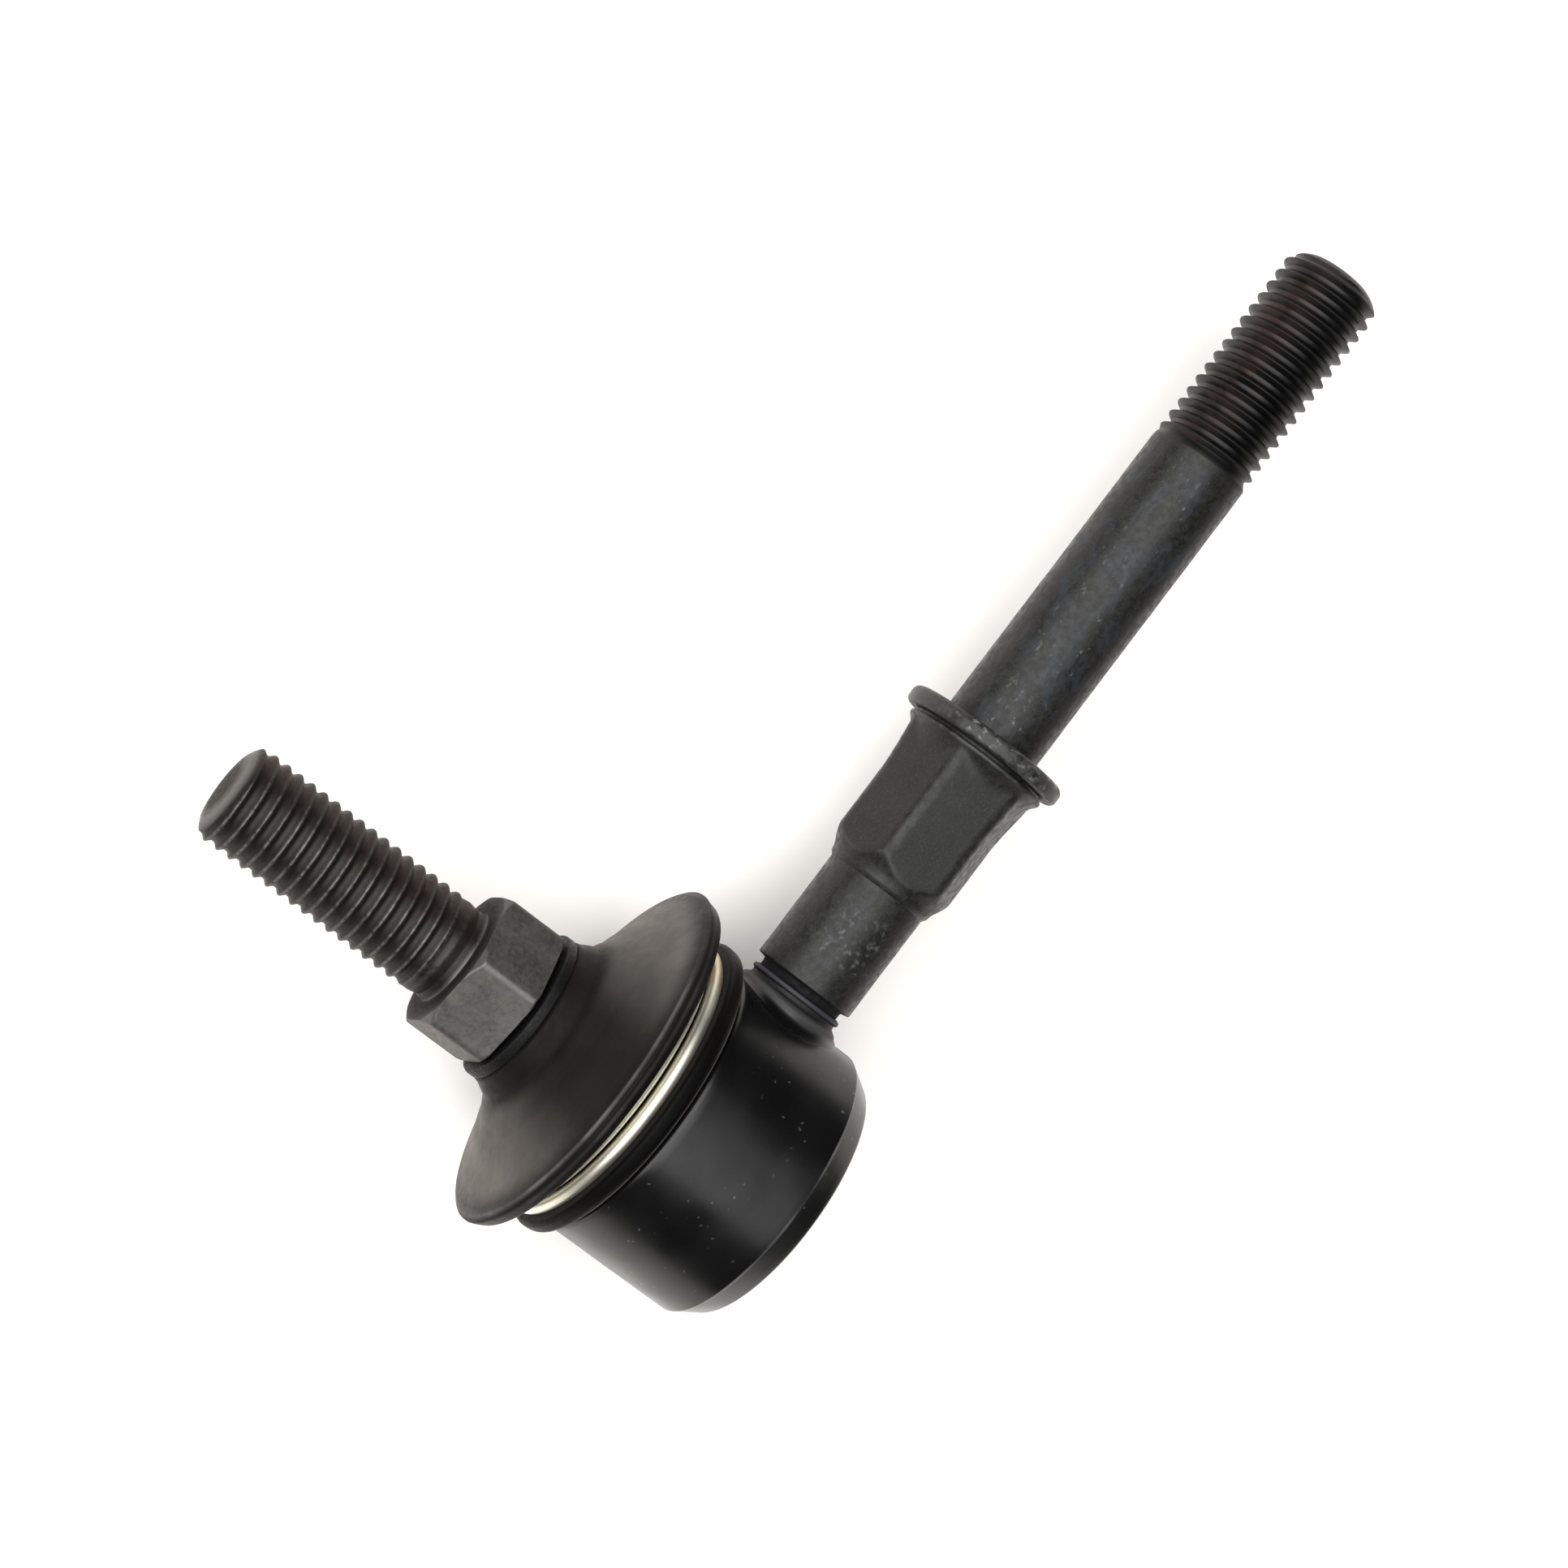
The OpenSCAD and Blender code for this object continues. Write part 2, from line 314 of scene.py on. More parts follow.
def rounded(corner, before, after, radius):
    """Points of a rounded corner between the directions of two neighbours."""
    steps = 6
    corner, before, after = Vector(corner), Vector(before), Vector(after)
    enter = (before - corner).normalized()
    leave = (after - corner).normalized()
    half = enter.angle(leave) / 2
    reach = radius / math.tan(half)
    centre = corner + (enter + leave).normalized() * (radius / math.sin(half))
    first, last = corner + enter * reach - centre, corner + leave * reach - centre
    sweep = first.angle_signed(last)
    points = []
    for i in range(steps + 1):
        share = sweep * i / steps
        cosine, sine = math.cos(-share), math.sin(-share)
        along = centre.x + first.x * cosine - first.y * sine
        points.append((along, centre.y + first.x * sine + first.y * cosine))
    return points


def soften(corners, spacing):
    """Dense points in metres of an outline through (along, radius, corner radius) in millimetres."""
    points = []
    for i, (along, radius, bend) in enumerate(corners):
        here = (along, radius)
        if bend and 0 < i < len(corners) - 1:
            points.append(rounded(here, corners[i - 1][:2], corners[i + 1][:2], bend))
        else:
            points.append([here])
    outline = []
    for here, there in zip(points, points[1:]):
        outline += here[:-1] + line(here[-1], there[0], spacing)
    outline += points[-1]
    return [(along * MM, radius * MM) for along, radius in outline]


def ease(share):
    """Smooth step from 0 to 1."""
    share = min(max(share, 0), 1)
    return share * share * (3 - 2 * share)


def smooth_min(a, b, blend):
    """The lesser of two lengths, rounded over where they are within one blend of each other."""
    gap = max(blend - abs(a - b), 0) / blend
    return min(a, b) - gap * gap * blend / 4


def smooth_max(a, b, blend):
    """The greater of two lengths, rounded over where they are within one blend of each other."""
    return -smooth_min(-a, -b, blend)


def hexagon(angle, across, rounding):
    """Radius of a hexagon with rounded corners in one direction; a flat faces angle zero."""
    from_flat = abs((angle + SIXTH / 2) % SIXTH - SIXTH / 2)
    nearest = across / 2 / math.cos(from_flat)
    beside = across / 2 / math.cos(SIXTH - from_flat)
    return smooth_min(nearest, beside, rounding)


def unevenness(place, size, depth):
    """Small smooth hills of a forged or moulded skin."""
    return depth * noise.noise(place / size)


# Threads


def thread_shell(name, axis, thread, crest, depth, start, end):
    """An open helical sheet of thread between two places along an axis, made by the screw modifier."""
    shares_and_drops = [(0, 0), (0.02, 0.02), (0.05, 0.1), (0.33, 0.93), (0.4, 0.99), (0.5, 1)]
    shares_and_drops += [(1 - share, drop) for share, drop in reversed(shares_and_drops[:-1])]
    first = start - thread.pitch
    outline = [(first + share * thread.pitch, crest - drop * depth) for share, drop in shares_and_drops]
    shell = draw_outline(name, axis, outline)
    bpy.ops.object.mode_set(mode="OBJECT")
    bpy.ops.object.modifier_add(type="SCREW")
    screw = shell.modifiers[-1]
    screw.axis = axis
    screw.screw_offset = thread.pitch
    screw.iterations = math.ceil((end - start) / thread.pitch) + 2
    screw.steps = screw.render_steps = thread.steps
    screw.use_merge_vertices = True
    screw.merge_threshold = MERGE
    bpy.ops.object.modifier_apply(modifier=screw.name)
    return shell


def cut_ends(shell, axis, start, end):
    """Cuts a sheet square at two places along the axis and leaves both rims open."""
    select_only(shell)
    bpy.ops.object.mode_set(mode="EDIT")
    for place, low_side in ((start, True), (end, False)):
        bpy.ops.mesh.select_all(action="SELECT")
        bpy.ops.mesh.bisect(
            plane_co=AXES[axis] * place,
            plane_no=AXES[axis],
            clear_inner=low_side,
            clear_outer=not low_side,
            threshold=MERGE,
        )
    close_seams()
    bpy.ops.object.mode_set(mode="OBJECT")


def blunt_tip(end, crest, face, reach):
    """A function for the radius of a blunt tip, which falls from crest to end face along a parabola."""

    def radius(along):
        share = max(1 - (end - along) / reach, 0)
        return crest - (crest - face) * share * share

    return radius


def tip_outline(start, end, tip_radius, dome):
    """Outline of a tip from its start to the middle of its domed end face."""
    steps = 8
    edge = end - dome
    shares = [i / steps for i in range(steps + 1)]
    places = [start + (edge - start) * share for share in shares]
    sides = [(place, tip_radius(place)) for place in places]
    face = [(end - dome * (1 - share) ** 2, tip_radius(edge) * (1 - share)) for share in shares]
    return sides + face[1:]


def fade_thread(shell, axis, start, runout, base_radius, tip_radius):
    """Lets a thread grow out of a plain cylinder and run into a tip whose radius a function gives."""
    centre_line = AXES[axis]

    def move(place):
        along = place.dot(centre_line)
        spoke = place - centre_line * along
        grown = ease((along - start) / runout)
        radius = base_radius + (spoke.length - base_radius) * grown
        radius = smooth_min(radius, tip_radius(along), 0.12 * MM)
        return centre_line * along + spoke.normalized() * radius

    reshape(shell, move)


def add_thread(body, axis, thread, crest, depth, neck, start, end, face, reach, dome, plain):
    """Adds a thread and a blunt tip to a body that is open there, and closes the three into one skin.

    The tip has a face of a given radius, a reach over which it is blunt, a dome and a plain length.
    """
    start, tip_start = start + SEAM, end - plain
    blunt = blunt_tip(end - dome, crest, face, reach)
    shell = thread_shell("thread", axis, thread, crest, depth, start, end)
    fade_thread(shell, axis, start, thread.runout, neck, blunt)
    cut_ends(shell, axis, start, tip_start)
    cap = turn("tip", axis, tip_outline(tip_start + SEAM, end, blunt, dome))
    join(body, shell, cap)
    bridge_rims(body, axis, start)
    bridge_rims(body, axis, tip_start)


# Materials, and the colours of marks, dust and wear on them, and of painted highlights, sheen and shadows

BLUE_SMEAR = (0.02, 0.024, 0.03)
PALE_CRUMB = (0.09, 0.092, 0.096)
NECK_CHIP = (0.06, 0.06, 0.061)
FLANGE_FLECK = (0.16, 0.158, 0.155)
# Rubbed edges of the rod, and a painted highlight on the ridge under its flange
ROD_EDGE = (0.034, 0.034, 0.033)
ROD_RUST = (0.016, 0.009, 0.007)
WELD_SHADOW = (0.0004, 0.0004, 0.0004)
STUD_RUST = (0.022, 0.014, 0.011)
STUD_RUSTY_EDGE = (0.026, 0.02, 0.017)
# Dark sawn tip face of the stud, and a painted shadow at the nut's top edge
STUD_SAWN_AND_SHADOW = (0.02, 0.018, 0.016)
DUST = (0.12, 0.12, 0.126)
# Rubbed bottom edge of the socket, also a painted highlight
ENAMEL_EDGE = (0.075, 0.072, 0.075)
# Painted bluish highlight on the weld's bead
WELD_BEAD_HIGHLIGHT = (0.02, 0.02, 0.026)
# Painted highlight along the boss's ridge
BOSS_RIDGE_HIGHLIGHT = (0.03, 0.03, 0.03)
# Warm bloom with a painted sheen on the sides of the boot's dish
RUBBER_BLOOM_AND_SHEEN = (0.1, 0.09, 0.081)
# Painted highlight lines along the boot's rim
RUBBER_EDGE_HIGHLIGHT = (0.085, 0.083, 0.084)
RUBBER_SHADOW = (0.0006, 0.0005, 0.0005)
ZINC_TARNISH = (0.5, 0.33, 0.17)


class Skin:
    """A material in the making: its nodes, its shader and the object's own coordinates."""

    def __init__(self, name):
        self.material = bpy.data.materials.new(name)
        self.material.use_nodes = True
        self.nodes = self.material.node_tree.nodes
        self.links = self.material.node_tree.links
        self.shader = self.nodes["Principled BSDF"]
        self.place = self.nodes.new("ShaderNodeTexCoord").outputs["Object"]

    def set(self, **values):
        """Sets the shader's own sockets; underscores stand for spaces."""
        for name, value in values.items():
            self.shader.inputs[name.replace("_", " ")].default_value = value

    def feed(self, socket, source):
        """Puts a number, a colour or another node's output into a socket."""
        if isinstance(source, bpy.types.NodeSocket):
            self.links.new(source, socket)
        else:
            socket.default_value = source

    def paint(self, name, source):
        """Feeds one of the shader's sockets."""
        self.feed(self.shader.inputs[name], source)

    def grain(self, size, detail=3.0, stretch=(1, 1, 1), distort=0.0):
        """Noise whose patches are about one size across, drawn out along the axes by stretch."""
        mapping = self.nodes.new("ShaderNodeMapping")
        mapping.inputs["Scale"].default_value = [1 / s for s in stretch]
        mapping.inputs["Location"].default_value = (size * 7, size * 3, size * 5)
        self.links.new(self.place, mapping.inputs["Vector"])
        node = self.nodes.new("ShaderNodeTexNoise")
        node.inputs["Scale"].default_value = 1 / size
        node.inputs["Detail"].default_value = detail
        node.inputs["Distortion"].default_value = distort
        self.links.new(mapping.outputs["Vector"], node.inputs["Vector"])
        return node.outputs["Fac"]

    def along(self, axis):
        """The object's coordinate along one axis."""
        node = self.nodes.new("ShaderNodeSeparateXYZ")
        self.links.new(self.place, node.inputs["Vector"])
        return node.outputs[axis]

    def radius(self, axis, centre=(0, 0, 0)):
        """Distance from a line through centre along one axis."""
        mapping = self.nodes.new("ShaderNodeMapping")
        mapping.inputs["Location"].default_value = [-c for c in centre]
        mapping.inputs["Scale"].default_value = [0 if a == axis else 1 for a in "XYZ"]
        self.links.new(self.place, mapping.inputs["Vector"])
        node = self.nodes.new("ShaderNodeVectorMath")
        node.operation = "LENGTH"
        self.links.new(mapping.outputs["Vector"], node.inputs[0])
        return node.outputs["Value"]

    def scale(self, source, low, high, to_low=0.0, to_high=1.0):
        """Maps a range of values to another, smoothly and within its ends."""
        node = self.nodes.new("ShaderNodeMapRange")
        node.interpolation_type = "SMOOTHSTEP"
        ends = {"From Min": low, "From Max": high, "To Min": to_low, "To Max": to_high}
        for name, value in ends.items():
            self.feed(node.inputs[name], value)
        self.links.new(source, node.inputs["Value"])
        return node.outputs["Result"]

    def window(self, source, low, high, fade):
        """One where a value lies in a range and zero elsewhere, with soft ends."""
        rise = self.scale(source, low, low + fade)
        fall = self.scale(source, high - fade, high, 1, 0)
        return self.times(rise, fall)

    def math(self, operation, a, b):
        """A sum, product or other operation on two values."""
        node = self.nodes.new("ShaderNodeMath")
        node.operation = operation
        self.feed(node.inputs[0], a)
        self.feed(node.inputs[1], b)
        return node.outputs["Value"]

    def times(self, a, b):
        """The product of two values."""
        return self.math("MULTIPLY", a, b)

    def mix(self, share, low, high):
        """A colour between two colours."""
        node = self.nodes.new("ShaderNodeMix")
        node.data_type = "RGBA"
        self.feed(node.inputs["Factor"], share)
        for socket, source in ((node.inputs[6], low), (node.inputs[7], high)):
            self.feed(socket, (*source, 1) if isinstance(source, (tuple, list)) else source)
        return node.outputs[2]

    def relief(self, *heights_and_depths):
        """Fine relief from (height, depth in metres) pairs, one upon the other."""
        normal = None
        for height, depth in heights_and_depths:
            node = self.nodes.new("ShaderNodeBump")
            node.inputs["Distance"].default_value = depth
            self.links.new(height, node.inputs["Height"])
            if normal is not None:
                self.links.new(normal, node.inputs["Normal"])
            normal = node.outputs["Normal"]
        self.paint("Normal", normal)

    def attribute(self, name):
        """One of the piece's own painted attributes."""
        node = self.nodes.new("ShaderNodeAttribute")
        node.attribute_name = name
        return node.outputs["Fac"]


def tint(colour_value, factor):
    """A colour made lighter or darker."""
    return tuple(min(channel * factor, 1) for channel in colour_value)


def paint_edges(piece, rule):
    """Stores how rubbed each vertex is, and any highlight painted on it, from 0 to 1, as the attribute
    that the materials read.
    """
    worn_and_lit = piece.data.attributes.new("worn_and_lit", "FLOAT", "POINT")
    worn_and_lit.data.foreach_set("value", [rule(vertex.co) for vertex in piece.data.vertices])


def phosphate_skin(finish, size):
    """Matte dark phosphate on the rod, blacker and oily on its thread, with specks and rubbed edges;
    painted shade in the thread's roots, a painted highlight on the ridge under the flange and a painted
    shadow in the weld's groove.
    """
    skin = Skin("phosphated_steel")
    plain = tuple(finish.phosphate)
    along, upward, front = [skin.along(axis) for axis in "XYZ"]
    patches = skin.scale(skin.grain(5 * MM, 3), 0.3, 0.7)
    mottle = skin.scale(skin.grain(0.8 * MM, 5), 0.3, 0.72)
    base = skin.mix(patches, tint(plain, 0.7), tint(plain, 1.25))
    base = skin.mix(skin.times(mottle, 0.5), base, tint(plain, 1.9))
    speckle = skin.scale(skin.grain(0.28 * MM, 2), 0.45, 0.75)
    base = skin.mix(speckle, base, tint(plain, 2.2))
    on_shank = skin.window(along, -1.5 * MM, size.shank_end - 0.1 * MM, 2 * MM)
    smears = skin.scale(skin.grain(1.3 * MM, 4, (3, 1, 1), 0.6), 0.48, 0.7)
    base = skin.mix(skin.times(smears, skin.times(on_shank, 0.6)), base, BLUE_SMEAR)
    crumbs = skin.scale(skin.grain(0.65 * MM, 2, (1.4, 1, 1)), 0.6, 0.78)
    upper_side = skin.times(on_shank, skin.window(upward, -2 * MM, 5 * MM, 2 * MM))
    clusters = skin.times(skin.scale(skin.grain(6 * MM, 2), 0.44, 0.6), upper_side)
    base = skin.mix(skin.times(crumbs, clusters), base, PALE_CRUMB)
    on_neck = skin.window(along, -31.5 * MM, -22.5 * MM, 2.5 * MM)
    rubbed = skin.times(on_neck, skin.scale(front, 3.8 * MM, 6 * MM))
    chips = skin.scale(skin.grain(0.7 * MM, 2), 0.5, 0.78)
    base = skin.mix(skin.times(chips, rubbed), base, NECK_CHIP)
    on_flange = skin.window(along, -1.9 * MM, 0.1 * MM, 0.4 * MM)
    knocked = skin.times(on_flange, skin.scale(front, 4 * MM, 8.5 * MM))
    flecks = skin.scale(skin.grain(0.75 * MM, 2, (1, 2, 1)), 0.55, 0.72)
    base = skin.mix(skin.times(flecks, knocked), base, FLANGE_FLECK)
    # Lighter rubbed edges, and a painted highlight on the ridge under the flange
    edges = skin.times(skin.attribute("worn_and_lit"), skin.scale(mottle, 0, 1, 0.2, 0.9))
    base = skin.mix(edges, base, ROD_EDGE)
    thread = skin.scale(along, size.shank_end - 0.2 * MM, size.shank_end + 1 * MM)
    crest = skin.scale(skin.radius("X"), 5.7 * MM, 6 * MM)
    rust = skin.times(skin.scale(skin.grain(4 * MM, 3), 0.4, 0.6), skin.scale(upward, 0, 4 * MM))
    # Painted shade in the thread's roots, mixed with rust on the upper side; paler rubbed crests
    valley = skin.mix(rust, tint(finish.thread_black, 0.3), ROD_RUST)
    base = skin.mix(thread, base, skin.mix(crest, valley, tint(finish.thread_black, 2)))
    # Painted shadow: the groove above the weld is near black, and rougher
    gap = skin.scale(along, size.weld - 0.1 * MM, size.weld + 0.05 * MM, 1, 0)
    skin.paint("Base Color", skin.mix(gap, base, WELD_SHADOW))
    dull = skin.math("ADD", skin.scale(mottle, 0, 1, 0.37, 0.55), skin.times(gap, 0.4))
    shiny = skin.scale(patches, 0, 1, 0.38, 0.52)
    keep = skin.math("SUBTRACT", 1.0, thread)
    rough = skin.math("ADD", skin.times(dull, keep), skin.times(shiny, thread))
    skin.paint("Roughness", rough)
    skin.set(Specular_IOR_Level=0.25)
    skin.relief((skin.grain(0.22 * MM, 4), 0.012 * MM), (skin.grain(1.6 * MM, 3), 0.02 * MM))
    return skin.material


def stud_skin(finish, size, thread_size):
    """Greyer coating of the stud: satin on the hexagon, dark with painted shade in the thread's roots,
    pale on its crests, with a painted shadow at the nut's top edge.
    """
    skin = Skin("bare_steel")
    plain = tuple(finish.stud_steel)
    along = skin.along("Y")
    out = skin.radius("Y", (BALL_X, 0, 0))
    patches = skin.scale(skin.grain(4 * MM, 3), 0.3, 0.7)
    mottle = skin.scale(skin.grain(0.6 * MM, 5), 0.3, 0.72)
    base = skin.mix(patches, tint(plain, 0.75), tint(plain, 1.15))
    base = skin.mix(skin.times(mottle, 0.45), base, tint(plain, 1.35))
    base = skin.mix(skin.times(skin.attribute("worn_and_lit"), 0.45), base, tint(plain, 1.9))
    thread = skin.times(
        skin.scale(along, size.hex_top, size.hex_top + 0.7 * MM),
        skin.scale(along, STUD_END - 1.2 * MM, STUD_END - 0.4 * MM, 1, 0),
    )
    crest = skin.scale(out, thread_size.stud_crest - 0.25 * MM, thread_size.stud_crest)
    rust = skin.times(skin.scale(skin.along("X"), BALL_X, BALL_X + 5 * MM), 0.8)
    # Painted shade in the thread's roots, mixed with rust on one side
    valley = skin.mix(rust, tint(plain, 0.2), STUD_RUST)
    rubbed = skin.mix(mottle, tint(plain, 0.5), tint(plain, 1.7))
    edge = skin.mix(rust, rubbed, STUD_RUSTY_EDGE)
    base = skin.mix(thread, base, skin.mix(crest, valley, edge))
    tip_face = skin.times(
        skin.scale(along, STUD_END - 0.45 * MM, STUD_END - 0.3 * MM),
        skin.scale(out, 2.2 * MM, 4.2 * MM, 0.85, 0),
    )
    # Painted shadow line where the nut's top face meets the thread's run-out; the dark tip face is the
    # sawn face's own colour
    nut_edge_shadow = skin.window(along, size.hex_top - 0.03 * MM, size.hex_top + 0.2 * MM, 0.06 * MM)
    dark = skin.math("MAXIMUM", tip_face, nut_edge_shadow)
    skin.paint("Base Color", skin.mix(dark, base, STUD_SAWN_AND_SHADOW))
    sawn = skin.times(dark, 0.25)
    skin.paint("Roughness", skin.math("ADD", skin.scale(mottle, 0, 1, 0.34, 0.48), sawn))
    skin.set(Metallic=0.6, Specular_IOR_Level=0.4, Specular_Tint=(0.45, 0.43, 0.41, 1))
    skin.relief((skin.grain(0.2 * MM, 4), 0.01 * MM), (skin.grain(1.8 * MM, 3), 0.02 * MM))
    return skin.material


def enamel_skin(finish, size):
    """Black enamel, glossy on the body, burnt dull at the weld and rubbed along its bottom edge, with
    painted highlights on the weld's bead, the boss's ridge and that bottom edge.
    """
    skin = Skin("black_enamel")
    plain = tuple(finish.enamel)
    along_rod, height = skin.along("X"), skin.along("Y")
    foot = BALL_X + HOUSING_RADIUS
    patches = skin.scale(skin.grain(6 * MM, 1), 0.1, 0.9)
    dust = skin.times(
        skin.scale(skin.grain(0.7 * MM, 0), 0.76, 0.83),
        skin.scale(skin.grain(9 * MM, 1), 0.5, 0.6),
    )
    off_boss = skin.scale(along_rod, foot - 2.5 * MM, foot - 1 * MM, 0.5, 0)
    base = skin.mix(skin.times(dust, off_boss), plain, DUST)
    # A lighter rubbed band along the bottom edge, which also serves as a painted highlight on that edge
    bottom_edge = skin.window(height, -size.rim_edge - 0.3 * MM, -size.rim_edge + 0.15 * MM, 0.15 * MM)
    rubbed = skin.times(bottom_edge, skin.scale(skin.grain(5 * MM, 3), 0.3, 0.65, 0.15, 0.8))
    base = skin.mix(rubbed, base, ENAMEL_EDGE)
    # Painted bluish highlight on the bead beside the weld
    bead = skin.window(along_rod, foot + 1.6 * MM, foot + 2.3 * MM, 0.2 * MM)
    base = skin.mix(bead, base, WELD_BEAD_HIGHLIGHT)
    # Painted highlight on the boss's ridge, from the piece's attribute
    skin.paint("Base Color", skin.mix(skin.attribute("worn_and_lit"), base, BOSS_RIDGE_HIGHLIGHT))
    burnt = skin.scale(along_rod, foot - 0.3 * MM, foot + 0.5 * MM, 0, 0.35)
    skin.paint("Roughness", skin.math("ADD", skin.scale(patches, 0, 1, 0.24, 0.34), burnt))
    skin.set(Specular_IOR_Level=0.32)
    skin.relief((skin.grain(3 * MM, 1), 0.012 * MM))
    return skin.material


def rubber_skin(finish):
    """Matte black rubber with a warm bloom and a painted sheen on the sides of its dish, painted highlight
    lines on its rim, a painted shadow low down and faint rings from its mould.
    """
    skin = Skin("boot_rubber")
    plain = tuple(finish.rubber)
    height = skin.along("Y")
    patches = skin.scale(skin.grain(4.5 * MM, 3), 0.3, 0.7)
    rings = skin.scale(skin.grain(1.1 * MM, 3, (30, 1, 30)), 0.35, 0.65)
    base = skin.mix(patches, tint(plain, 0.7), tint(plain, 1.3))
    base = skin.mix(skin.times(rings, 0.5), base, tint(plain, 2.2))
    # Warm dusty bloom with a painted sheen on the dish's sides, where they are seen at a grazing angle
    side = skin.math("ABSOLUTE", skin.math("SUBTRACT", skin.along("X"), BALL_X), 0.0)
    dish = skin.window(height, 15.5 * MM, 21 * MM, 1.2 * MM)
    bloom = skin.times(skin.scale(side, 4 * MM, 17 * MM, 0.04, 1.0), dish)
    cloudy = skin.scale(skin.grain(6 * MM, 2), 0.25, 0.75, 0.65, 1.0)
    base = skin.mix(skin.times(bloom, cloudy), base, RUBBER_BLOOM_AND_SHEEN)
    # Painted highlight lines along the rim, from the piece's attribute
    edge = skin.times(skin.attribute("worn_and_lit"), skin.scale(patches, 0, 1, 0.45, 1.0))
    base = skin.mix(edge, base, RUBBER_EDGE_HIGHLIGHT)
    under = skin.scale(height, 10.5 * MM, 13.2 * MM, 0.85, 0)
    skin.paint("Base Color", skin.mix(under, base, RUBBER_SHADOW))
    skin.paint("Roughness", skin.scale(skin.grain(0.9 * MM, 4), 0.3, 0.7, 0.48, 0.6))
    skin.set(Specular_IOR_Level=0.06)
    skin.set(Sheen_Weight=0.12, Sheen_Roughness=0.3, Sheen_Tint=(1, 0.92, 0.84, 1))
    skin.relief((skin.grain(0.3 * MM, 3), 0.005 * MM), (rings, 0.014 * MM))
    return skin.material


def zinc_skin(finish):
    """Bright yellow zinc plating with a slight play of colour along the wire."""
    skin = Skin("yellow_zinc")
    plain = tuple(finish.zinc)
    play = skin.scale(skin.grain(9 * MM, 1), 0.3, 0.7)
    base = skin.mix(play, tint(plain, 1.04), (plain[0] * 0.96, plain[1] * 0.97, plain[2] * 0.88))
    tarnish = skin.scale(skin.along("X"), BALL_X + 13.5 * MM, BALL_X + 16.5 * MM)
    skin.paint("Base Color", skin.mix(skin.times(tarnish, 0.55), base, ZINC_TARNISH))
    skin.paint("Roughness", skin.scale(play, 0, 1, 0.42, 0.5))
    skin.set(Metallic=1.0)
    return skin.material


def plain_metal_skin(name, plain, roughness, grain_size):
    """Steel with a fine grain and dull patches."""
    skin = Skin(name)
    patches = skin.scale(skin.grain(grain_size * 6, 4), 0.35, 0.68)
    fine = skin.scale(skin.grain(grain_size, 4), 0.3, 0.7)
    base = skin.mix(patches, tint(plain, 0.85), tint(plain, 1.15))
    skin.paint("Base Color", skin.mix(skin.times(fine, 0.3), base, tint(plain, 0.7)))
    skin.paint("Roughness", skin.scale(fine, 0, 1, roughness * 0.85, roughness * 1.2))
    skin.set(Metallic=0.9)
    skin.relief((fine, 0.006 * MM))
    return skin.material


def polymer_skin():
    """Off-white slippery polymer of the ball seat."""
    skin = Skin("seat_polymer")
    clouds = skin.scale(skin.grain(3 * MM, 3), 0.3, 0.7)
    skin.paint("Base Color", skin.mix(clouds, (0.72, 0.7, 0.63), (0.8, 0.78, 0.72)))
    skin.paint("Roughness", skin.scale(skin.grain(0.8 * MM, 3), 0.3, 0.7, 0.32, 0.45))
    skin.set(Specular_IOR_Level=0.5)
    skin.relief((skin.grain(0.4 * MM, 3), 0.005 * MM))
    return skin.material


# Rod


def forged_radius(size, along, angle):
    """Radius of the rod from its neck to its flange: six flats that end in tongues."""
    lead = size.neck_radius + size.lead_slope * (along - size.lead_start)
    draft = 1 + 0.085 * ease((along + 10 * MM) / (8 * MM))
    flats = hexagon(angle, size.hex_across, 1 * MM) * draft
    rise = min(max((along + 8 * MM) / (5.4 * MM), 0), 1)
    flare = 6.5 * MM + 2.6 * MM * rise * rise
    return smooth_max(smooth_min(lead, flats, 0.3 * MM), flare, 0.5 * MM)


def forged_wear_and_ridge_light(size, place):
    """How rubbed the rod is on the hexagon's ridges, the tongues' borders and the flange's rim, and a
    painted highlight along the ridge under the flange.
    """
    radius = math.hypot(place.y, place.z)
    if radius > 9.6 * MM:
        return ease((radius - 9.6 * MM) / (0.4 * MM))
    # Painted highlight along the ridge under the flange
    if size.flare_end + 0.05 * MM < place.x < size.flare_end + 0.48 * MM:
        return ease((radius - 8.5 * MM) / (0.3 * MM))
    if not size.lead_start < place.x < size.flare_end:
        return 0
    angle = math.atan2(place.z, place.y) - math.pi / 2
    from_ridge = abs(angle % SIXTH - SIXTH / 2)
    lead = size.neck_radius + size.lead_slope * (place.x - size.lead_start)
    flats = hexagon(angle, size.hex_across, 0.45 * MM)
    ridge = ease(1 - from_ridge / math.radians(4)) if lead > flats else 0
    border = ease(1 - abs(lead - flats) / (0.16 * MM))
    specks = ease((noise.noise(place / (0.9 * MM)) - 0.1) / 0.3)
    return max(0.1 * ridge, 0.9 * ridge * specks, 0.7 * border)


